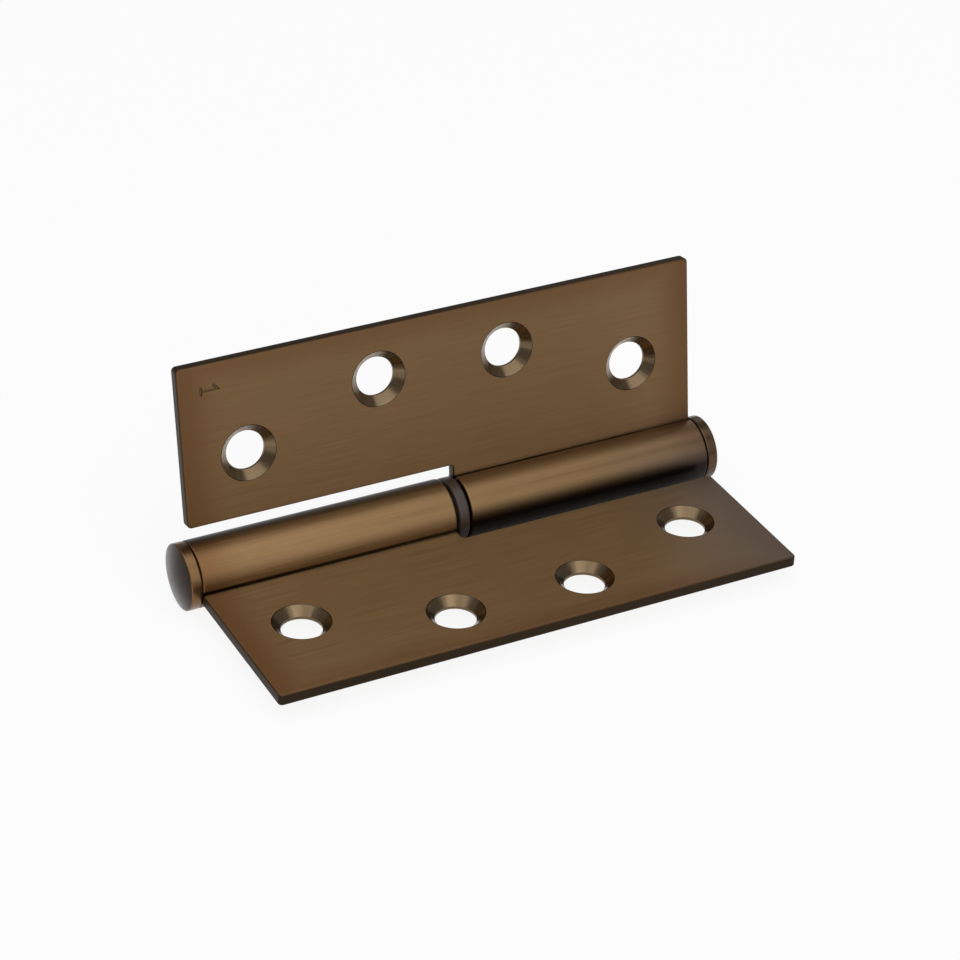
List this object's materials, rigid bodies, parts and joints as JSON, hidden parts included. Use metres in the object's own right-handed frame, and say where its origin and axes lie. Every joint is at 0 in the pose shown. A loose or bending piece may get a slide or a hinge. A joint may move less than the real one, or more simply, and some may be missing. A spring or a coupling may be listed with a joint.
{
  "type": "lift-off hinge",
  "caption": "Lift-off hinge (paumelle) of folded sheet: countersunk leaves with rolled knuckles on a fixed pin, a thrust washer between them and domed end caps.",
  "frame": {"origin": "middle of the frame leaf's screw holes, on its back face", "axes": "+X along the pin, towards the end that is up in use; +Y from the frame leaf's free edge towards the pin; +Z out of the frame leaf's front face"},
  "size_m": [0.1069, 0.0462, 0.0429],
  "materials": {
    "leaf_bronze": "bronze-plated steel, brushed along the leaf and lacquered",
    "cap_bronze": "bronze-plated steel, turned and satin",
    "pin_steel": "ground bright steel, oiled",
    "washer_dark": "dark satin nylon with a fine turned grain"
  },
  "bodies": {
    "frame_side": {"frame_leaf": "leaf_bronze", "pin": "pin_steel", "lower_cap": "cap_bronze"},
    "washer": {"thrust_washer": "washer_dark"},
    "door_side": {"door_leaf": "leaf_bronze", "upper_cap": "cap_bronze"}
  },
  "joints": [
    {"name": "swing", "type": "hinge", "parent": "frame_side", "child": "washer", "pos_m": [0.00035, 0.02365, 0.003], "axis": [1, 0, 0], "range_deg": [-171, 99]},
    {"name": "lift_off", "type": "slide", "parent": "washer", "child": "door_side", "axis": [1, 0, 0], "range_m": [0, 0.04]}
  ]
}
